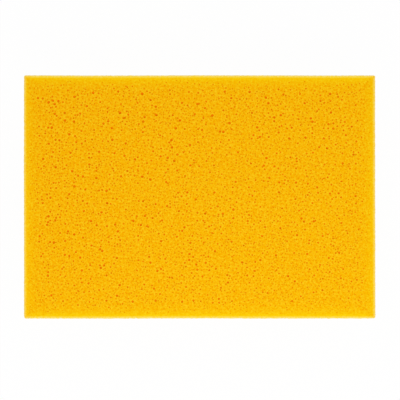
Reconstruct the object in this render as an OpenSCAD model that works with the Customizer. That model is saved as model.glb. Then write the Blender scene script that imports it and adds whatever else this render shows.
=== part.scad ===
// Cleaning sponge: one block of open-cell foam, cut square, lying on a broad
// face. The origin is in the middle of that face, where the block rests.
// X runs along the length, Y across the width and Z up, in millimetres.

/* [Block] */
// Length of the block, along X
block_l = 130; // [80:1:220]
// Width of the block, along Y
block_w = 90; // [50:1:150]
// Thickness of the block, along Z
block_h = 40; // [15:1:80]

/* [Cut edges] */
// Radius of the four upright corners, seen from above
corner_r = 0.7; // [0.3:0.1:6]
// Rounding of the rims where the broad faces turn into the sides
edge_r = 0.4; // [0.2:0.1:6]

/* [Foam] */
// Colour of the foam
foam_colour = "#F6B40A"; // [#F6B40A:Yellow, #F2C94C:Pale yellow, #E98B2A:Orange]

/* [Hidden] */

// Segments in a full turn of a rounded edge
$fn = 64;
// A rim can't be rounder than the corners that it runs around
rim_r = min(edge_r, corner_r);
// From the middle of the block to the centres of its upright corners
corner_x = block_l / 2 - corner_r;
corner_y = block_w / 2 - corner_r;

// Cross-section of the block: a rectangle on the X axis with rounded corners
module cut_section(width) {
    flat_w = width - 2 * rim_r;
    translate([-width / 2, rim_r]) square([width, block_h - 2 * rim_r]);
    if (flat_w > 0)
        translate([-flat_w / 2, 0]) square([flat_w, block_h]);
    for (x = [-flat_w / 2, flat_w / 2], y = [rim_r, block_h - rim_r])
        translate([x, y]) circle(r = rim_r);
}

// A stretch of the block with the same cross-section all along X
module straight_run(length, width) {
    rotate([90, 0, 90])
        linear_extrude(height = length, center = true)
            cut_section(width);
}

// A round post that fills one upright corner, rounded at both ends
module corner_post() {
    rotate_extrude()
        intersection() {
            cut_section(2 * corner_r);
            square([corner_r, block_h]);
        }
}

module foam_block() {
    color(foam_colour) {
        straight_run(2 * corner_x, block_w);
        rotate([0, 0, 90]) straight_run(2 * corner_y, block_l);
        for (x = [-corner_x, corner_x], y = [-corner_y, corner_y])
            translate([x, y, 0]) corner_post();
    }
}

foam_block();
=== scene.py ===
"""A cleaning sponge: one block of open-cell foam, cut square, with its open cells modelled.

The foam is a three-dimensional pattern of bubbles. One Voronoi pattern, read in the block's own
space, says where each bubble lies. Geometry Nodes cut the large bubbles open where the faces of
the block pass through them, and the foam material reads the same pattern for the small ones,
which it paints as holes of painted shade.
"""

import math

import bmesh
import bpy
import numpy as np
from mathutils import Matrix, Vector


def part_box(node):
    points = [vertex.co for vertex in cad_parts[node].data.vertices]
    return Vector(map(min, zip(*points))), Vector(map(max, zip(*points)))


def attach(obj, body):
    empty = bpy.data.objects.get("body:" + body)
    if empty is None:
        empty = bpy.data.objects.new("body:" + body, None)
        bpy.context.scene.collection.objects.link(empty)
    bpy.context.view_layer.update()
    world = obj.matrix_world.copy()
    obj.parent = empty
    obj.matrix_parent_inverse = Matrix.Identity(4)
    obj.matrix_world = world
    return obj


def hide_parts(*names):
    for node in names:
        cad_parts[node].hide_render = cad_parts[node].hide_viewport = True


bl_info = {
    "name": "Cleaning Sponge",
    "version": (1, 0, 0),
    "blender": (4, 5, 0),
    "location": "3D Viewport > Sidebar > Sponge",
    "description": "Builds an open-cell foam sponge around its solid, and a plain studio",
    "category": "Object",
}

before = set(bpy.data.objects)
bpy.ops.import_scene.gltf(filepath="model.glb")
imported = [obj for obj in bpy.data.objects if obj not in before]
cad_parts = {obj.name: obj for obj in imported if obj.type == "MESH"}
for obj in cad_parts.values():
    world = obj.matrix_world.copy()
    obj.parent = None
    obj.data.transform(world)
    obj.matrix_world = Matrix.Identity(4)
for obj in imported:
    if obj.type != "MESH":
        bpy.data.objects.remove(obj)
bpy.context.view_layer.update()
NODE = "foam_block"
LOW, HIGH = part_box(NODE)
SIZE = HIGH - LOW
MIDDLE = (LOW + HIGH) / 2
MM = 0.001
# By which share the bubbles grow with each metre along X, Y and Z.
LEAN = (-1.0, 1.6, 0.0)
# The pattern of bubbles stands askew to the block, so that no face cuts it along its rows.
PATTERN_TURN = (0.52, 0.83, 0.27)
# A cell's colour and its place come from one random number, so the three parts of the colour
# are mixed, or bubbles of one size would stand in rows.
COLOUR_MIX = (37.7, 23.3, 41.9)
ROOM_SHARE = 0.9  # two bubbles fill at most this share of the way between their middles
SAME_MIDDLE = 0.01 * MM  # middles that lie within this are one bubble's


# ---------------------------------------------------------------- sizes and colours

def length(name, default_mm, note):
    """A length that the sidebar shows, given here in millimetres."""
    return bpy.props.FloatProperty(
        name=name, description=note, default=default_mm * MM, unit="LENGTH", precision=5)


def share(name, default, note):
    """A number from 0 to 1."""
    return bpy.props.FloatProperty(
        name=name, description=note, default=default, min=0.0, max=1.0, subtype="FACTOR")


def colour(name, default, note):
    """A colour as scene linear red, green and blue."""
    return bpy.props.FloatVectorProperty(
        name=name, description=note, default=default, size=3, min=0.0, max=1.0,
        subtype="COLOR")


class SpongeBlock(bpy.types.PropertyGroup):
    """Sizes of the cut block."""
    corner_radius: length("Corner radius", 0.7, "Radius of the upright corners")
    edge_radius: length("Edge radius", 0.25, "Rounding of the rims of the broad faces")
    grid_step: length("Grid step", 3.0, "Spacing of the points that carry the cut's waviness")
    rim_step: length("Rim step", 0.5, "Spacing of the points along the rims")
    wander: length("Blade wander", 0.15, "How far the cut faces wander from flat")
    wander_span: length("Wander span", 55.0, "Distance over which the cut faces wander")
    fray: length("Fray", 0.22, "How far the struts along a rim stand off the cut")
    fray_span: length("Fray span", 0.8, "Size of one tooth of the frayed rim")


class SpongeCells(bpy.types.PropertyGroup):
    """Sizes of the foam's bubbles."""
    pitch: length("Cell pitch", 1.22, "Mean distance between the middles of two bubbles")
    scatter: share("Scatter", 0.75, "How far bubbles stand off even rows")
    reach: length("Reach", 0.66, "A bubble whose middle is nearer to a face than this is cut open")
    bubble_low: length("Smallest bubble", 0.18, "Radius of the smallest bubbles")
    bubble_high: length("Largest bubble", 0.525, "Radius of the largest bubbles")
    bubble_bias: bpy.props.FloatProperty(
        name="Bubble bias", description="Above 1, small bubbles outnumber large ones",
        default=3.1, min=0.1, max=8.0)
    smallest_mouth: length("Smallest mouth", 0.27, "Radius below which a mouth isn't cut")
    medium_mouth: length("Medium mouth", 0.32, "Radius from which a mouth has a round bowl")
    large_mouth: length("Large mouth", 0.44, "Radius from which a mouth has a finer bowl")
    bowl_depth: bpy.props.FloatProperty(
        name="Bowl depth", description="Depth of a bowl over the radius of its mouth",
        default=1.0, min=0.2, max=4.0)
    rim_margin: length("Rim margin", 0.45, "No bubble is cut open nearer to a rim than this")
    calm_start: length("Calm start", 2.2, "Up to this distance from a rim, mouths are smallest")
    calm_end: length("Calm end", 7.0, "From this distance from a rim on, mouths have full size")
    calm_share: share("Calm share", 0.45, "Size of the mouths beside a rim over their full size")
    jitter: length("Strut jitter", 0.05, "How far struts stand off their places")
    seed: bpy.props.IntProperty(
        name="Seed", description="Seed of the points that look for bubbles", default=7, min=0)


class SpongeColours(bpy.types.PropertyGroup):
    """Colours of the foam. The darker oranges are painted shade in its hollows and bubbles, and
    the paler yellows are painted light on its struts and edges.
    """
    foam: colour("Foam", (0.935, 0.486, 0.0004), "Yellow of the cut faces")
    # Painted highlight: the cut struts are drawn paler where they catch light.
    strut_highlight: colour("Strut", (0.955, 0.600, 0.011), "Lighter yellow of the cut struts")
    # Painted shade: the darker orange of the small hollows in the cut face.
    hollow_shade: colour("Hollow", (0.915, 0.330, 0.0003), "Orange-yellow of the small hollows")
    # Painted shade: the orange of small open bubbles that are painted as holes, not cut.
    pore_shade: colour("Pore", (0.880, 0.232, 0.0003), "Orange of the small open bubbles")
    # Painted shade on the walls of the cut bowls, on top of the shade that they cast.
    bowl: colour("Bowl", (0.920, 0.380, 0.0003), "Orange of the walls of large bubbles")
    # Painted shade, darkest at the bottom of the cut bowls.
    deep_shade: colour("Deep", (0.900, 0.275, 0.0002), "Deep orange at the bottom of large bubbles")
    # Painted light: a lemon glow that stands in for light soaking in through the edges.
    painted_glow: colour("Glow", (0.970, 0.720, 0.0016), "Lemon yellow of an edge that light soaks through")
    # Painted highlight: the pale fringe along the cut edges, where thin struts catch light.
    rim: colour("Rim", (0.985, 0.775, 0.230), "Pale yellow of the thin fringe along the cut edges")


class SpongeStudio(bpy.types.PropertyGroup):
    """Lights and camera."""
    view_width: length("View width", 147.98, "Width of what the camera sees at the top face")
    lens: bpy.props.FloatProperty(
        name="Lens", description="Focal length of the camera, in millimetres",
        default=100.0, min=10.0, unit="CAMERA")
    aim_across: length("Aim across", 0.13, "How far the camera stands from the middle along X")
    aim_up: length("Aim up", -1.11, "How far the camera stands from the middle along Y")
    world: bpy.props.FloatProperty(
        name="World light", description="Strength of the even light from all around",
        default=0.765, min=0.0)
    key_power: bpy.props.FloatProperty(
        name="Key power", description="Power of the large overhead lamp",
        default=0.500, min=0.0, unit="POWER")
    back_power: bpy.props.FloatProperty(
        name="Back power", description="Power of the low lamp behind the block",
        default=0.12, min=0.0, unit="POWER")


# ---------------------------------------------------------------- node trees

class Tree:
    """Adds nodes to one node tree and links them. A socket is given as it is or as a value."""

    def __init__(self, tree):
        self.tree = tree

    def add(self, kind, _settings=None, **inputs):
        """A new node. Spaces in an input's name are written as underscores."""
        node = self.tree.nodes.new(kind)
        for name, value in (_settings or {}).items():
            setattr(node, name, value)
        for name, value in inputs.items():
            self.give(node, name.replace("_", " "), value)
        return node

    def give(self, node, name, value):
        """Links or sets the input of that name, or of that number."""
        if isinstance(name, str):
            socket = next(s for s in node.inputs if s.name == name and s.enabled)
        else:
            socket = node.inputs[name]
        if isinstance(value, bpy.types.NodeSocket):
            self.tree.links.new(value, socket)
        else:
            socket.default_value = value

    def math(self, operation, *values, clamp=False):
        """One arithmetic step."""
        node = self.add("ShaderNodeMath", {"operation": operation, "use_clamp": clamp})
        for number, value in enumerate(values):
            self.give(node, number, value)
        return node.outputs[0]

    def vector(self, operation, *values):
        """One step on vectors. Only the scale of SCALE and the results of DOT_PRODUCT, LENGTH
        and DISTANCE are plain numbers."""
        node = self.add("ShaderNodeVectorMath", {"operation": operation})
        for number, value in enumerate(values):
            place = "Scale" if operation == "SCALE" and number == 1 else number
            self.give(node, place, value)
        plain = operation in ("DOT_PRODUCT", "LENGTH", "DISTANCE")
        return node.outputs["Value" if plain else "Vector"]

    def ramp(self, value, start, end, low=0.0, high=1.0, smooth=True):
        """low where value is at start, high where it is at end, and held beyond them."""
        node = self.add("ShaderNodeMapRange",
                        {"interpolation_type": "SMOOTHSTEP" if smooth else "LINEAR"})
        for number, number_or_socket in enumerate((value, start, end, low, high)):
            self.give(node, number, number_or_socket)
        return node.outputs[0]

    def mixed(self, low, high, amount):
        """A colour that is low where amount is 0, and high where it is 1."""
        node = self.add("ShaderNodeMix", {"data_type": "RGBA"})
        self.give(node, 0, amount)
        for number, value in ((6, low), (7, high)):
            self.give(node, number, value if isinstance(value, bpy.types.NodeSocket)
                      else (*value, 1.0))
        return node.outputs[2]

    def keep(self, geometry, name, kind, value):
        """Stores a value on the points of a geometry. Returns that geometry and the value."""
        kept = self.add("GeometryNodeStoreNamedAttribute", {"data_type": kind, "domain": "POINT"},
                        Geometry=geometry, Name=name, Value=value).outputs[0]
        stored = self.add("GeometryNodeInputNamedAttribute", {"data_type": kind},
                          Name=name).outputs[0]
        return kept, stored

    def xyz(self, vector):
        """The three numbers of a vector."""
        return list(self.add("ShaderNodeSeparateXYZ", Vector=vector).outputs)

    def turn(self, vector, back=False):
        """Turns a place into the pattern of bubbles, or back out of it."""
        return self.add("ShaderNodeVectorRotate",
                        {"rotation_type": "EULER_XYZ", "invert": back},
                        Vector=vector, Rotation=PATTERN_TURN).outputs[0]

    def cells(self, place, sizes, feature="F1"):
        """The foam's pattern of bubbles, which is the same in geometry and in materials."""
        frequency = self.math("DIVIDE", 1.0, sizes["pitch"])
        return self.add("ShaderNodeTexVoronoi",
                        {"voronoi_dimensions": "3D", "feature": feature},
                        Vector=self.turn(place), Scale=frequency,
                        Randomness=sizes["scatter"]).outputs

    def noise(self, place, span, detail=2.0, roughness=0.5):
        """Smooth noise whose lumps are about span across."""
        frequency = (self.math("DIVIDE", 1.0, span)
                     if isinstance(span, bpy.types.NodeSocket) else 1.0 / span)
        return self.add("ShaderNodeTexNoise", {"noise_dimensions": "3D"}, Vector=place,
                        Scale=frequency, Detail=detail, Roughness=roughness)

    def insets(self, place):
        """How far a place lies inside each pair of the block's faces, along X, Y and Z."""
        off = self.vector("ABSOLUTE", self.vector("SUBTRACT", place, MIDDLE))
        return self.xyz(self.vector("SUBTRACT", SIZE / 2, off))

    def depth(self, place):
        """How far a place lies inside the nearest face of the block."""
        x, y, z = self.insets(place)
        return self.math("MINIMUM", self.math("MINIMUM", x, y), z)

    def from_rim(self, place):
        """How far a place on a face lies from that face's nearest edge, which is the second
        smallest of its three insets."""
        x, y, z = self.insets(place)
        larger = self.math("MAXIMUM", x, y)
        smaller = self.math("MINIMUM", x, y)
        return self.math("MAXIMUM", smaller, self.math("MINIMUM", larger, z))


def coarseness(tree, place):
    """How much coarser the foam is at a place than in the middle of the block, as a share."""
    return tree.vector("DOT_PRODUCT", tree.vector("SUBTRACT", place, MIDDLE), LEAN)


def own_radius(tree, cell_colour, cells):
    """Radius that a bubble's own random number gives it."""
    chance = tree.math("FRACT", tree.vector("DOT_PRODUCT", cell_colour, COLOUR_MIX))
    chance = tree.math("POWER", chance, cells["bubble_bias"])
    return tree.ramp(chance, 0.0, 1.0, cells["bubble_low"], cells["bubble_high"], smooth=False)


def bubble_radius(tree, cell_colour, centre, cells):
    """Radius of a bubble. Of two that stand close, the smaller keeps to what room is left."""
    radius = own_radius(tree, cell_colour, cells)
    beside = tree.cells(centre, cells, "F2")
    other = own_radius(tree, beside["Color"], cells)
    apart = tree.vector("DISTANCE", tree.turn(beside["Position"], back=True), centre)
    room = tree.math("SUBTRACT", tree.math("MULTIPLY", apart, ROOM_SHARE), other)
    excess = tree.math("SUBTRACT", radius, tree.math("MAXIMUM", room, 0.0))
    excess = tree.math("MAXIMUM", excess, 0.0)
    smaller = tree.math("LESS_THAN", radius, other)
    radius = tree.math("SUBTRACT", radius, tree.math("MULTIPLY", excess, smaller))
    return tree.math("MULTIPLY", radius, tree.math("ADD", 1.0, coarseness(tree, centre)))


def mouth_radius(tree, cell_colour, centre, foot, height, cells):
    """Radius of the mouth that a face cuts into a bubble. It comes from the bubble's radius, how
    near its middle is to the face, and how near the mouth is to a rim, where mouths stay
    small."""
    radius = bubble_radius(tree, cell_colour, centre, cells)
    off = tree.math("DIVIDE", height, cells["reach"])
    share_open = tree.math("SUBTRACT", 1.0, tree.math("MULTIPLY", off, off))
    share_open = tree.math("SQRT", tree.math("MAXIMUM", share_open, 0.0))
    calm = tree.ramp(tree.from_rim(foot), cells["calm_start"], cells["calm_end"],
                     cells["calm_share"], 1.0)
    return tree.math("MULTIPLY", tree.math("MULTIPLY", radius, share_open), calm)


def stays_shut(tree, mouth, foot, centre, cells):
    """1 for a bubble that isn't cut: its mouth is too small, too near a rim or under another
    bubble, and 0 for one that is."""
    nearest = tree.turn(tree.cells(foot, cells)["Position"], back=True)
    small = tree.math("LESS_THAN", mouth, cells["smallest_mouth"])
    beside_rim = tree.math("LESS_THAN", tree.from_rim(foot), cells["rim_margin"])
    under = tree.math("GREATER_THAN", tree.vector("DISTANCE", nearest, centre), SAME_MIDDLE)
    return tree.math("MAXIMUM", small, tree.math("MAXIMUM", beside_rim, under))


# ---------------------------------------------------------------- the block and its cells

BOWL_LIFT = 0.25  # a bowl is a ball whose middle stands this much of its radius above the face
FUNNEL_LIFT = 0.4  # how far a funnel reaches above the face, over the radius of its mouth
LARGE_BOWL, SMALL_BOWL = (12, 6), (8, 4)  # sides and rings
FUNNEL_SIDES = 7
OVAL = (0.93, 1.08)  # how much wider a mouth is one way, which makes it narrower the other way
TILT = 0.15  # how far a bowl may lean, in radians
LOOKS = 8e6  # how many points look for bubbles on each square metre of the faces
FLAT = 0.9999  # a face is flat if its normal has a part this large along X, Y or Z
SAME_FOOT = 0.02 * MM  # points that meet within this have found the same bubble
SAME_CORNER = 0.0005 * MM  # corners that the cut leaves within this become one
NUMBERS = 1e6  # how many numbers there are for the bubbles to draw from
JITTER_SPAN = 1.1 * MM  # size of the patches in which struts move together
FRAY_FULL, FRAY_END = 0.1 * MM, 0.6 * MM  # distances from a rim between which fraying fades
SUNK = 0.002 * MM  # what lies deeper than this is inside a bowl
SHARP_BEND = math.radians(50)  # an edge that bends more than this stays sharp
# What would stand below the face that the block rests on is pressed flat onto it. Only the
# third number counts.
FLOOR_LEVEL = (-1.0, -1.0, LOW.z)
CORNER_STEPS, EDGE_STEPS = 3, 2  # flat strips across a rounded corner and a rounded rim
ROUND = 0.5  # the bevel's profile for an arc
RIM_SLACK = 0.1 * MM  # the points along a rim reach this far past its rounding
MAP_GAP = 2 * MM  # space between the faces on the flat map
FEWEST_FACES = 1000  # a block with fewer faces than this has no bubbles cut into it


def ball_mouth(rings):
    """Radius of a faceted ball of radius 1 where the face cuts it, BOWL_LIFT below its middle."""
    turn = math.pi / rings
    drop = math.sin(turn)
    return 1 - (1 - math.cos(turn)) * BOWL_LIFT / drop


def bowl(tree, segments, rings):
    """A ball that cuts a bowl with a mouth of radius 1 and a depth of 1 into the plane Z = 0."""
    ball = tree.add("GeometryNodeMeshUVSphere", Segments=segments, Rings=rings, Radius=1.0)
    wide = 1 / ball_mouth(rings)
    tall = 1 / (1 - BOWL_LIFT)
    return tree.add("GeometryNodeTransform", Geometry=ball.outputs[0],
                    Translation=(0, 0, BOWL_LIFT * tall), Scale=(wide, wide, tall)).outputs[0]


def funnel(tree, sides):
    """A cone that cuts a pit with a mouth of radius 1 and a depth of 1 into the plane Z = 0."""
    cone = tree.add("GeometryNodeMeshCone", {"fill_type": "NGON"}, Vertices=sides,
                    Radius_Top=1 + FUNNEL_LIFT, Radius_Bottom=0.0, Depth=1 + FUNNEL_LIFT)
    return tree.add("GeometryNodeTransform", Geometry=cone.outputs[0],
                    Translation=(0, 0, -1)).outputs[0]


INPUTS = (
    # name, type, the property that holds it
    ("Cell pitch", "NodeSocketFloat", "pitch"),
    ("Scatter", "NodeSocketFloat", "scatter"),
    ("Reach", "NodeSocketFloat", "reach"),
    ("Smallest bubble", "NodeSocketFloat", "bubble_low"),
    ("Largest bubble", "NodeSocketFloat", "bubble_high"),
    ("Bubble bias", "NodeSocketFloat", "bubble_bias"),
    ("Smallest mouth", "NodeSocketFloat", "smallest_mouth"),
    ("Medium mouth", "NodeSocketFloat", "medium_mouth"),
    ("Large mouth", "NodeSocketFloat", "large_mouth"),
    ("Bowl depth", "NodeSocketFloat", "bowl_depth"),
    ("Rim margin", "NodeSocketFloat", "rim_margin"),
    ("Calm start", "NodeSocketFloat", "calm_start"),
    ("Calm end", "NodeSocketFloat", "calm_end"),
    ("Calm share", "NodeSocketFloat", "calm_share"),
    ("Strut jitter", "NodeSocketFloat", "jitter"),
    ("Seed", "NodeSocketInt", "seed"),
)


def find_bubbles(t, solid, sizes):
    """Points at the feet of all bubbles that are cut open, with the direction in which each
    one's face looks and the radius of its mouth."""
    place = t.add("GeometryNodeInputPosition").outputs[0]

    # Points all over the flat faces each look up the bubble that they lie in.
    x, y, z = t.xyz(t.vector("ABSOLUTE", t.add("GeometryNodeInputNormal").outputs[0]))
    flat = t.math("GREATER_THAN", t.math("MAXIMUM", t.math("MAXIMUM", x, y), z), FLAT)
    looks = t.add("GeometryNodeDistributePointsOnFaces", {"distribute_method": "RANDOM"},
                  Mesh=solid, Selection=flat, Density=LOOKS, Seed=sizes["seed"]).outputs
    points, outward = t.keep(looks["Points"], "outward", "FLOAT_VECTOR", looks["Normal"])
    middle = t.turn(t.cells(place, sizes)["Position"], back=True)
    points, centre = t.keep(points, "centre", "FLOAT_VECTOR", middle)

    # Each point moves to the foot of its bubble's middle on the face, where it meets its like.
    above = t.vector("DOT_PRODUCT", t.vector("SUBTRACT", centre, place), outward)
    points, height = t.keep(points, "height", "FLOAT", above)
    foot = t.vector("SUBTRACT", centre, t.vector("SCALE", outward, height))
    points = t.add("GeometryNodeSetPosition", Geometry=points, Position=foot).outputs[0]
    points = t.add("GeometryNodeMergeByDistance", Geometry=points,
                   Distance=SAME_FOOT).outputs[0]

    radius = mouth_radius(t, t.cells(place, sizes)["Color"], centre, place, height, sizes)
    shut = stays_shut(t, radius, place, centre, sizes)
    points, mouth = t.keep(points, "mouth", "FLOAT", radius)
    points = t.add("GeometryNodeDeleteGeometry", {"domain": "POINT"}, Geometry=points,
                   Selection=shut).outputs[0]
    return points, outward, mouth


def cutters(t, points, outward, mouth, sizes):
    """A bowl or a funnel on each point, turned and sized at random to cut its bubble open."""
    # The shape that is joined last counts as the first: small mouths are funnels, and larger
    # ones are bowls with more sides.
    shapes = t.add("GeometryNodeJoinGeometry")
    for shape in (bowl(t, *LARGE_BOWL), bowl(t, *SMALL_BOWL), funnel(t, FUNNEL_SIDES)):
        wrapped = t.add("GeometryNodeGeometryToInstance")
        t.give(wrapped, 0, shape)
        t.give(shapes, 0, wrapped.outputs[0])
    pick = t.math("ADD", t.math("GREATER_THAN", mouth, sizes["medium_mouth"]),
                  t.math("GREATER_THAN", mouth, sizes["large_mouth"]))

    # A bubble's own random colour numbers it, so its bowl is the same in each run.
    place = t.add("GeometryNodeInputPosition").outputs[0]
    number = t.math("MULTIPLY", t.xyz(t.cells(place, sizes)["Color"])[0], NUMBERS)
    draws = (
        # seed, type, lowest, highest
        (1, "FLOAT", 0.0, math.tau),
        (2, "FLOAT", *OVAL),
        (3, "FLOAT_VECTOR", (-TILT, -TILT, 0.0), (TILT, TILT, 0.0)),
    )
    spin, oval, tilt = (
        t.add("FunctionNodeRandomValue", {"data_type": kind}, Min=low, Max=high, ID=number,
              Seed=seed).outputs["Value"] for seed, kind, low, high in draws)
    turned = t.add("FunctionNodeAlignRotationToVector", {"axis": "Z"}, Vector=outward)
    for turn in (t.add("FunctionNodeAxisAngleToRotation", Axis=(0, 0, 1), Angle=spin),
                 t.add("FunctionNodeEulerToRotation", Euler=tilt)):
        turned = t.add("FunctionNodeRotateRotation", {"rotation_space": "LOCAL"},
                       Rotation=turned.outputs[0], Rotate_By=turn.outputs[0])
    scale = t.add("ShaderNodeCombineXYZ", X=t.math("MULTIPLY", mouth, oval),
                  Y=t.math("DIVIDE", mouth, oval),
                  Z=t.math("MULTIPLY", mouth, sizes["bowl_depth"]))
    return t.add("GeometryNodeInstanceOnPoints", Points=points, Instance=shapes.outputs[0],
                 Pick_Instance=True, Instance_Index=pick, Rotation=turned.outputs[0],
                 Scale=scale.outputs[0]).outputs[0]


def unsettle(t, mesh, sizes, block):
    """Moves the struts a little off their places, and more so along the rims. Returns the mesh
    and each point's place from before, which the material reads too."""
    place = t.add("GeometryNodeInputPosition").outputs[0]
    mesh, before = t.keep(mesh, "place", "FLOAT_VECTOR", place)
    fray = t.ramp(t.from_rim(place), FRAY_END, FRAY_FULL, 0.0, 2 * block.fray)
    moves = (
        # size of the patches that move together, how far they move
        (JITTER_SPAN, t.math("MULTIPLY", sizes["jitter"], 2.0)),
        (block.fray_span, fray),
        (block.wander_span, 2 * block.wander),
    )
    # Noise runs from 0 to 1 with its mean at a half, so twice an amount is as far as it says.
    offset = (0.0, 0.0, 0.0)
    for span, amount in moves:
        lump = t.vector("SUBTRACT", t.noise(place, span, detail=1.0).outputs["Color"],
                        (0.5, 0.5, 0.5))
        offset = t.vector("ADD", t.vector("SCALE", lump, amount), offset)
    mesh = t.add("GeometryNodeSetPosition", Geometry=mesh, Offset=offset).outputs[0]
    rest = t.vector("MAXIMUM", place, FLOOR_LEVEL)
    mesh = t.add("GeometryNodeSetPosition", Geometry=mesh, Position=rest).outputs[0]
    return mesh, before


def shade(t, mesh, place):
    """Shades the mesh smooth, but for steep bends and the edge of each mouth, where a flat face
    meets a bowl."""
    sunk = t.math("GREATER_THAN", t.depth(place), SUNK)
    sunk = t.add("GeometryNodeFieldOnDomain", {"data_type": "FLOAT", "domain": "FACE"},
                 Value=sunk).outputs[0]
    # Along a mouth's edge only one of the two faces is sunk, so their mean is a half.
    lip = t.math("COMPARE", sunk, 0.5, 0.4)
    bend = t.add("GeometryNodeInputMeshEdgeAngle").outputs["Unsigned Angle"]
    blunt = t.math("LESS_THAN", t.math("MAXIMUM", t.math("MULTIPLY", lip, math.pi), bend),
                   SHARP_BEND)
    for domain, smooth in (("FACE", True), ("EDGE", blunt)):
        mesh = t.add("GeometryNodeSetShadeSmooth", {"domain": domain}, Geometry=mesh,
                     Shade_Smooth=smooth).outputs[0]
    return mesh


def cell_tree(material, block):
    """The node tree that cuts the bubbles open, and how its inputs are called inside it."""
    group = bpy.data.node_groups.new("Open cells", "GeometryNodeTree")
    group.interface.new_socket("Geometry", in_out="INPUT", socket_type="NodeSocketGeometry")
    group.interface.new_socket("Geometry", in_out="OUTPUT", socket_type="NodeSocketGeometry")
    sockets = {}
    for name, kind, prop in INPUTS:
        socket = group.interface.new_socket(name, in_out="INPUT", socket_type=kind)
        sockets[prop] = socket.identifier
    t = Tree(group)
    given = t.add("NodeGroupInput").outputs
    sizes = {prop: given[name] for name, kind, prop in INPUTS}
    solid = given["Geometry"]

    points, outward, mouth = find_bubbles(t, solid, sizes)
    cut = t.add("GeometryNodeMeshBoolean", {"operation": "DIFFERENCE", "solver": "MANIFOLD"})
    t.give(cut, "Mesh 1", solid)
    t.give(cut, "Mesh 2", cutters(t, points, outward, mouth, sizes))
    mesh = t.add("GeometryNodeMergeByDistance", Geometry=cut.outputs[0],
                 Distance=SAME_CORNER).outputs[0]
    mesh = t.add("GeometryNodeTriangulate", Mesh=mesh).outputs[0]
    mesh, place = unsettle(t, mesh, sizes, block)
    mesh = shade(t, mesh, place)
    mesh = t.add("GeometryNodeRealizeInstances", Geometry=mesh).outputs[0]
    mesh = t.add("GeometryNodeSetMaterial", Geometry=mesh, Material=material).outputs[0]
    t.give(t.add("NodeGroupOutput"), 0, mesh)
    return group, sockets


def rim_distance(place):
    """How far a place on the block lies from the nearest edge of the face it is on."""
    off = place - MIDDLE
    return sorted(SIZE[axis] / 2 - abs(off[axis]) for axis in range(3))[1]


def slice_up(mesh, step, wanted):
    """Cuts the wanted faces along planes across X, Y and Z that stand about step apart."""
    for axis in range(3):
        facing = Vector((0, 0, 0))
        facing[axis] = 1
        count = round(SIZE[axis] / step)
        faces = [face for face in mesh.faces if wanted(face)]
        for number in range(1, count):
            spot = LOW + facing * SIZE[axis] * number / count
            edges = list(dict.fromkeys(edge for face in faces for edge in face.edges))
            verts = list(dict.fromkeys(vert for edge in edges for vert in edge.verts))
            done = bmesh.ops.bisect_plane(mesh, geom=[*verts, *edges, *faces], plane_co=spot,
                                          plane_no=facing)
            faces = [part for part in done["geom"] if isinstance(part, bmesh.types.BMFace)
                     and part.calc_center_median()[axis] > spot[axis]]


def in_fixed_order(mesh):
    """The corners, edges and faces of the mesh, sorted so that they are the same in each run.

    Cutting leaves faces in an order that varies from run to run, and the points that are
    scattered over them follow that order. The list of edges is empty: the faces say enough.
    """
    places = {vert: tuple(vert.co) for vert in mesh.verts}
    corners = sorted(places, key=places.get)
    numbers = {vert: number for number, vert in enumerate(corners)}
    faces = []
    for face in mesh.faces:
        ring = [numbers[vert] for vert in face.verts]
        first = ring.index(min(ring))
        faces.append(ring[first:] + ring[:first])
    return [places[vert] for vert in corners], [], sorted(faces)


def plain_block(block):
    """The block before its cells are cut: rounded corners and rims, and a grid of points."""
    mesh = bmesh.new()
    bmesh.ops.create_cube(mesh, size=1.0)
    bmesh.ops.transform(mesh, matrix=Matrix.Translation(MIDDLE) @ Matrix.Diagonal((*SIZE, 1.0)),
                        verts=mesh.verts)
    upright = [e for e in mesh.edges
               if abs(e.verts[0].co.z - e.verts[1].co.z) > SIZE.z / 2]
    bmesh.ops.bevel(mesh, geom=upright, offset=block.corner_radius, segments=CORNER_STEPS,
                    profile=ROUND, affect="EDGES")
    level = [e for e in mesh.edges
             if abs(e.verts[0].co.z - e.verts[1].co.z) < SIZE.z / 2]
    bmesh.ops.bevel(mesh, geom=level, offset=block.edge_radius, segments=EDGE_STEPS,
                    profile=ROUND, affect="EDGES")
    slice_up(mesh, block.grid_step, lambda face: True)
    near = max(block.corner_radius, block.edge_radius) + RIM_SLACK
    slice_up(mesh, block.rim_step, lambda face: rim_distance(face.calc_center_median()) < near)
    data = bpy.data.meshes.new("foam")
    data.from_pydata(*in_fixed_order(mesh))
    mesh.free()
    return data


def lay_out_map(data):
    """Lays each face of the block flat on one map, with the bowls that are cut into it."""
    corners = np.empty(len(data.loops), np.int32)
    data.loops.foreach_get("vertex_index", corners)
    places = np.empty(len(data.vertices) * 3, np.float32)
    data.vertices.foreach_get("co", places)
    places = places.reshape(-1, 3)
    centres = places[corners].reshape(-1, 3, 3).mean(1)
    inset = np.abs(np.stack([centres - np.array(LOW), np.array(HIGH) - centres], 1))
    side = inset.reshape(-1, 6).argmin(1)
    long, wide, tall = SIZE
    # For each side: the axes that run across and up its patch, and the patch's lowest corner.
    patches = (
        (1, 2, long + MAP_GAP, 0.0),
        (0, 2, 0.0, 2 * (wide + MAP_GAP)),
        (0, 1, 0.0, 0.0),
        (1, 2, long + MAP_GAP, tall + MAP_GAP),
        (0, 2, 0.0, 2 * (wide + MAP_GAP) + tall + MAP_GAP),
        (0, 1, 0.0, wide + MAP_GAP),
    )
    across = 1 / (2 * (wide + tall) + 4 * MAP_GAP)
    flat = np.empty((len(centres), 3, 2), np.float32)
    faces = places[corners].reshape(-1, 3, 3)
    for number, (u, v, left, base) in enumerate(patches):
        mine = side == number
        flat[mine, :, 0] = (faces[mine][:, :, u] - LOW[u] + left + MAP_GAP / 2) * across
        flat[mine, :, 1] = (faces[mine][:, :, v] - LOW[v] + base + MAP_GAP / 2) * across
    layer = data.uv_layers.new(name="OFBake", do_init=False)
    layer.uv.foreach_set("vector", flat.ravel())


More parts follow.
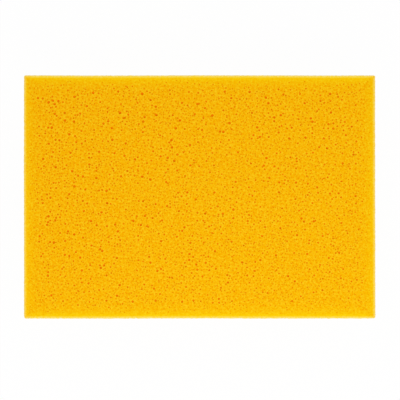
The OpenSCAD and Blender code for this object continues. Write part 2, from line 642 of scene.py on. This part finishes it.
class SPONGE_OT_foam(bpy.types.Operator):
    """Build the block of foam with its open cells"""
    bl_idname = "sponge.foam"
    bl_label = "Foam Block"
    bl_options = {"REGISTER", "UNDO"}

    def execute(self, context):
        block, cells = context.scene.sponge_block, context.scene.sponge_cells
        material = foam_material(context.scene)
        body = bpy.data.objects.new("foam", plain_block(block))
        context.scene.collection.objects.link(body)
        group, sockets = cell_tree(material, block)
        cutter = body.modifiers.new("Open cells", "NODES")
        cutter.node_group = group
        for prop, identifier in sockets.items():
            cutter[identifier] = getattr(cells, prop)
        looked = context.evaluated_depsgraph_get()
        data = bpy.data.meshes.new_from_object(body.evaluated_get(looked), depsgraph=looked)
        body.modifiers.remove(cutter)
        if len(data.polygons) < FEWEST_FACES:
            raise RuntimeError("the cells weren't cut into the foam block")
        lay_out_map(data)
        old = body.data
        body.data = data
        bpy.data.meshes.remove(old)
        data.name = "foam"
        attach(body, "root")
        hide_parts(NODE)
        return {"FINISHED"}


# ---------------------------------------------------------------- the foam's finish

GRAIN_SPAN, GRAIN_ROUGHNESS = 0.7 * MM, 0.75
GRAIN_LOW, GRAIN_MEAN, GRAIN_HIGH = 0.34, 0.50, 0.66  # noise at the darkest, mean and palest
NOISE_LOW, NOISE_HIGH = 0.35, 0.65  # where plain noise counts as its lowest and its highest
COARSE_END, COARSE_SHARE = 0.14, 0.36  # coarseness at which the painted shade is darkest, and how dark
# Width, patch size and strength of the painted highlight on the struts between the cells.
STRUT_WIDTH, STRUT_SPAN, STRUT_SHARE = 0.13 * MM, 1.3 * MM, 0.67
RING_WIDTH, RING_SHARE = 0.64 * MM, 0.49
RING_SMALLEST, RING_LARGEST = 0.10 * MM, 0.45 * MM  # mouths with no painted highlight ring and with the full one
BLOTCH_SPAN, BLOTCH_LOW, BLOTCH_HIGH, BLOTCH_SHARE = 7 * MM, 0.35, 0.55, 0.02
HOLE_BLUR = 0.08 * MM  # a painted hole's edge fades this far in and out
HOLE_FAINTEST, HOLE_FULL = 0.02 * MM, 0.14 * MM  # mouths with no painted hole and with a full one
CLEAR_START, CLEAR_END = 0.8 * MM, 2.4 * MM  # painted holes fade in between these, from a rim
INSET_SLACK = 0.001 * MM
END_RUN = 3 * MM  # how far from its ends a long edge is like the short ones
PAINTED_GLOW_RUN, PAINTED_GLOW_LEAST = 1.6 * MM, 0.6  # the painted glow's depth, and its strength at the block's ends
# The pale fringe below is a painted highlight along the rims.
FRINGE_WIDTH, FRINGE_SPAN, FRINGE_PATCHY = 1.1 * MM, 0.6 * MM, 0.35
FRINGE_TOP, FRINGE_BELOW, FRINGE_SIDE = 0.10 * MM, 0.35 * MM, 0.25
FRINGE_LEAST = 0.8  # its strength at the block's ends
INNER_START, INNER_END = 0.55 * MM, 0.72 * MM  # bowls get their painted shade between these, from a rim
# Depths at which the painted shade of a bowl's walls and bottom comes in.
WALL_DEPTH = 0.05 * MM
DEEP_START, DEEP_END = 0.10 * MM, 0.40 * MM
STRUT_HEIGHT, GRAIN_HEIGHT = 0.5, 1.2  # over the depth of a painted hole
BUMP_STRENGTH, BUMP_DEPTH = 0.6, 0.12 * MM
ROUGHNESS = 0.9


def bubble_at(t, place, sizes):
    """The bubble at a place, seen straight through the face that it opens in: the radius of its
    mouth, how far the place lies outside the mouth, and how much of a painted hole of painted
    shade is there."""
    bubble = t.cells(place, sizes)
    centre = t.turn(bubble["Position"], back=True)
    nearest = t.math("ADD", t.depth(place), INSET_SLACK)
    through = t.add("ShaderNodeCombineXYZ")
    for number, inset in enumerate(t.insets(place)):
        t.give(through, number, t.math("LESS_THAN", inset, nearest))
    through = through.outputs[0]
    toward = t.vector("SUBTRACT", centre, place)
    height = t.vector("DOT_PRODUCT", toward, through)
    aside = t.vector("SUBTRACT", toward, t.vector("MULTIPLY", toward, through))
    foot = t.vector("ADD", place, aside)
    mouth = mouth_radius(t, bubble["Color"], centre, foot, height, sizes)
    outside = t.math("SUBTRACT", t.vector("LENGTH", aside), mouth)
    hole = t.ramp(outside, HOLE_BLUR, -HOLE_BLUR)
    for part in (t.ramp(mouth, HOLE_FAINTEST, HOLE_FULL),
                 stays_shut(t, mouth, foot, centre, sizes),
                 t.ramp(t.from_rim(place), CLEAR_START, CLEAR_END)):
        hole = t.math("MULTIPLY", hole, part)
    return mouth, outside, hole


def add_painted_edge_light(t, tone, place, colours):
    """Paints light along the edges: a lemon glow stands in for light that soaks in through them
    and thins out with the distance from them, under a pale fringe at the rims that is a painted
    highlight. Both are weaker at the two ends of the block, as the light falls mostly on the
    long sides."""
    rim = t.from_rim(place)
    insets = t.insets(place)
    from_end, from_face = insets[0], insets[2]
    along = t.ramp(t.math("SUBTRACT", from_end, rim), 0.0, END_RUN)
    painted_glow = t.math("EXPONENT", t.math("MULTIPLY", rim, -1 / PAINTED_GLOW_RUN))
    painted_glow = t.math("MULTIPLY", painted_glow,
                  t.math("MULTIPLY_ADD", along, 1 - PAINTED_GLOW_LEAST, PAINTED_GLOW_LEAST))
    # Painted light: the glow of light soaking in through the edges.
    tone = t.mixed(tone, colours.painted_glow, painted_glow)
    patchy = t.ramp(t.noise(place, FRINGE_SPAN).outputs[0], NOISE_LOW, NOISE_HIGH,
                    FRINGE_PATCHY, 1.0)
    fringe = t.math("MULTIPLY", t.ramp(rim, FRINGE_WIDTH, 0.0), patchy)
    # The pale fringe, a painted highlight, shows most on the broad faces, and less on the sides
    # and the upright corners.
    fringe = t.math("MULTIPLY", fringe,
                    t.ramp(from_face, FRINGE_TOP, FRINGE_BELOW, 1.0, FRINGE_SIDE))
    fringe = t.math("MULTIPLY", fringe,
                    t.math("MULTIPLY_ADD", along, 1 - FRINGE_LEAST, FRINGE_LEAST))
    # Painted highlight: the pale fringe at the rims.
    return t.mixed(tone, colours.rim, fringe)


def foam_material(scene):
    """Yellow open-cell foam."""
    cells, colours = scene.sponge_cells, scene.sponge_colours
    material = bpy.data.materials.new("foam")
    material.use_nodes = True
    material.node_tree.nodes.clear()
    t = Tree(material.node_tree)
    place = t.add("ShaderNodeAttribute", {"attribute_name": "place"}).outputs["Vector"]
    sizes = {prop: getattr(cells, prop) for name, kind, prop in INPUTS}
    mouth, outside, hole = bubble_at(t, place, sizes)

    # The grain of the cut, whose darker and paler patches are painted shade and painted
    # highlights of the fine cells, paler struts between the cells, and a pale ring round a large
    # mouth; the struts and the ring are painted highlights.
    grain = t.noise(place, GRAIN_SPAN, detail=3.0, roughness=GRAIN_ROUGHNESS).outputs[0]
    # Painted shade: the foam is darker towards -X and +Y, where less light falls, along the lean
    # that also makes its bubbles larger there.
    coarse_shade = t.ramp(coarseness(t, place), -COARSE_END, COARSE_END, 0.0, COARSE_SHARE,
                    smooth=False)
    tone = t.mixed(colours.foam, colours.hollow_shade, coarse_shade)
    # Painted shade and highlight of the fine cells: the grain's low patches darker, its high ones
    # paler.
    tone = t.mixed(tone, colours.hollow_shade, t.ramp(grain, GRAIN_MEAN, GRAIN_LOW))
    tone = t.mixed(tone, colours.strut_highlight, t.ramp(grain, GRAIN_MEAN, GRAIN_HIGH))
    # Painted highlight on the struts between the cells.
    wall = t.math("MULTIPLY", t.cells(place, sizes, "DISTANCE_TO_EDGE")["Distance"], cells.pitch)
    patchy = t.ramp(t.noise(place, STRUT_SPAN).outputs[0], NOISE_LOW, NOISE_HIGH,
                    0.0, STRUT_SHARE)
    strut_highlight = t.math("MULTIPLY", t.ramp(wall, STRUT_WIDTH, 0.0), patchy)
    tone = t.mixed(tone, colours.strut_highlight, strut_highlight)
    # Painted highlight: a pale ring round a large mouth, on the lip that catches light.
    ring = t.math("MULTIPLY", t.ramp(outside, RING_WIDTH, 0.0),
                  t.ramp(mouth, RING_SMALLEST, RING_LARGEST, 0.0, RING_SHARE))
    tone = t.mixed(tone, colours.strut_highlight, ring)
    blotch = t.noise(place, BLOTCH_SPAN).outputs[0]
    tone = t.mixed(tone, colours.hollow_shade,
                   t.ramp(blotch, BLOTCH_HIGH, BLOTCH_LOW, 0.0, BLOTCH_SHARE))
    # Painted light along the edges: a lemon glow and a pale fringe that is a painted highlight.
    tone = add_painted_edge_light(t, tone, place, colours)

    # Painted shade: inside the bubbles, and the deeper the more, the foam is painted a richer
    # orange.
    # Painted shade: the painted holes of bubbles too small to cut.
    tone = t.mixed(tone, colours.pore_shade, hole)
    depth = t.depth(place)
    inner = t.ramp(t.from_rim(place), INNER_START, INNER_END)
    tone = t.mixed(tone, colours.bowl,
                   t.math("MULTIPLY", t.ramp(depth, 0.0, WALL_DEPTH), inner))
    tone = t.mixed(tone, colours.deep_shade, t.ramp(depth, DEEP_START, DEEP_END, 0.0, inner))

    height = t.math("SUBTRACT", t.math("MULTIPLY", strut_highlight, STRUT_HEIGHT), hole)
    height = t.math("ADD", height, t.math("MULTIPLY", grain, GRAIN_HEIGHT))
    bump = t.add("ShaderNodeBump", Strength=BUMP_STRENGTH, Distance=BUMP_DEPTH, Height=height)
    surface = t.add("ShaderNodeBsdfPrincipled", Base_Color=tone, Roughness=ROUGHNESS,
                    Normal=bump.outputs[0])
    t.give(surface, "Specular IOR Level", 0.0)
    t.give(t.add("ShaderNodeOutputMaterial"), "Surface", surface.outputs[0])
    return material


# ---------------------------------------------------------------- the studio

WHITE = (1.0, 1.0, 1.0, 1.0)
PAPER = (0.9, 0.9, 0.9, 1.0)
PAPER_WHITENESS = 0.97  # how much of its shadow the paper loses where it is seen
FLOOR_HALF, FLOOR_GAP = 3.0, 0.1 * MM
LAMP_SIZE = 0.35
KEY_PLACE = (0.03, -0.20, 0.36)  # from the middle of the block
BACK_PLACE = (0.00, 0.45, 0.16)
SENSOR = 36.0  # in millimetres, as the focal length is
NEAREST_SEEN, FURTHEST_SEEN = 0.01, 20.0


def add_lamp(scene, name, power, place):
    """A soft round lamp that stands at a place from the middle of the block and lights it."""
    lamp = bpy.data.lights.new(name, "AREA")
    lamp.shape = "DISK"
    lamp.size = LAMP_SIZE
    lamp.energy = power
    item = bpy.data.objects.new(name, lamp)
    item.location = MIDDLE + Vector(place)
    item.rotation_euler = (-Vector(place)).to_track_quat("-Z", "Y").to_euler()
    item.visible_camera = False
    scene.collection.objects.link(item)


def white_where_seen(tree, surface):
    """How far the camera, metal and glass see a surface, and the plain white that they see."""
    rays = tree.add("ShaderNodeLightPath").outputs
    seen = tree.math("MAXIMUM", rays["Is Camera Ray"], rays["Is Glossy Ray"])
    seen = tree.math("MAXIMUM", seen, rays["Is Transmission Ray"])
    white = tree.add(surface, Color=WHITE, Strength=1.0)
    return seen, white


def studio_world(studio):
    """An even white world that gives soft light, and shows as plain white."""
    world = bpy.data.worlds.new("studio")
    world.use_nodes = True
    world.node_tree.nodes.clear()
    t = Tree(world.node_tree)
    seen, white = white_where_seen(t, "ShaderNodeBackground")
    soft = t.add("ShaderNodeBackground", Color=WHITE, Strength=studio.world)
    both = t.add("ShaderNodeMixShader")
    for number, value in enumerate((seen, soft.outputs[0], white.outputs[0])):
        t.give(both, number, value)
    t.give(t.add("ShaderNodeOutputWorld"), "Surface", both.outputs[0])
    return world


def floor_material():
    """White paper that keeps a light shadow."""
    material = bpy.data.materials.new("paper")
    material.use_nodes = True
    material.node_tree.nodes.clear()
    t = Tree(material.node_tree)
    seen, white = white_where_seen(t, "ShaderNodeEmission")
    paper = t.add("ShaderNodeBsdfDiffuse", Color=PAPER)
    both = t.add("ShaderNodeMixShader")
    whiteness = t.math("MULTIPLY", seen, PAPER_WHITENESS)
    for number, value in enumerate((whiteness, paper.outputs[0], white.outputs[0])):
        t.give(both, number, value)
    t.give(t.add("ShaderNodeOutputMaterial"), "Surface", both.outputs[0])
    return material


class SPONGE_OT_stage(bpy.types.Operator):
    """Set up the floor, the lights and the camera"""
    bl_idname = "sponge.stage"
    bl_label = "Studio"
    bl_options = {"REGISTER", "UNDO"}

    def execute(self, context):
        scene, studio = context.scene, context.scene.sponge_studio
        scene.view_settings.view_transform = "Standard"
        scene.world = studio_world(studio)

        mesh = bmesh.new()
        bmesh.ops.create_grid(mesh, x_segments=1, y_segments=1, size=FLOOR_HALF)
        bmesh.ops.translate(mesh, vec=(0, 0, LOW.z - FLOOR_GAP), verts=mesh.verts)
        data = bpy.data.meshes.new("floor")
        mesh.to_mesh(data)
        mesh.free()
        data.materials.append(floor_material())
        floor = bpy.data.objects.new("floor", data)
        scene.collection.objects.link(floor)

        add_lamp(scene, "key", studio.key_power, KEY_PLACE)
        add_lamp(scene, "back", studio.back_power, BACK_PLACE)

        lens = bpy.data.cameras.new("camera")
        lens.lens, lens.sensor_width = studio.lens, SENSOR
        lens.clip_start, lens.clip_end = NEAREST_SEEN, FURTHEST_SEEN
        camera = bpy.data.objects.new("camera", lens)
        reach = studio.view_width * studio.lens / lens.sensor_width
        camera.location = (MIDDLE.x + studio.aim_across, MIDDLE.y + studio.aim_up, HIGH.z + reach)
        scene.collection.objects.link(camera)
        scene.camera = camera
        return {"FINISHED"}


# ---------------------------------------------------------------- sidebar and registration

GROUPS = {"sponge_block": SpongeBlock, "sponge_cells": SpongeCells,
          "sponge_colours": SpongeColours, "sponge_studio": SpongeStudio}


class SPONGE_PT_panel(bpy.types.Panel):
    """Lists the sponge's parts, with their sizes and colours"""
    bl_idname = "SPONGE_PT_panel"
    bl_label = "Cleaning Sponge"
    bl_space_type = "VIEW_3D"
    bl_region_type = "UI"
    bl_category = "Sponge"

    def draw(self, context):
        for operator in (SPONGE_OT_foam, SPONGE_OT_stage):
            self.layout.operator(operator.bl_idname)
        for name, group in GROUPS.items():
            column = self.layout.column(heading=name)
            for prop in group.__annotations__:
                column.prop(getattr(context.scene, name), prop)


CLASSES = (*GROUPS.values(), SPONGE_OT_foam, SPONGE_OT_stage, SPONGE_PT_panel)


def register():
    for item in CLASSES:
        bpy.utils.register_class(item)
    for name, group in GROUPS.items():
        setattr(bpy.types.Scene, name, bpy.props.PointerProperty(type=group))


def unregister():
    for name in GROUPS:
        delattr(bpy.types.Scene, name)
    for item in reversed(CLASSES):
        bpy.utils.unregister_class(item)


def main():
    register()
    bpy.ops.sponge.foam()
    bpy.ops.sponge.stage()


if __name__ == "__main__":
    main()
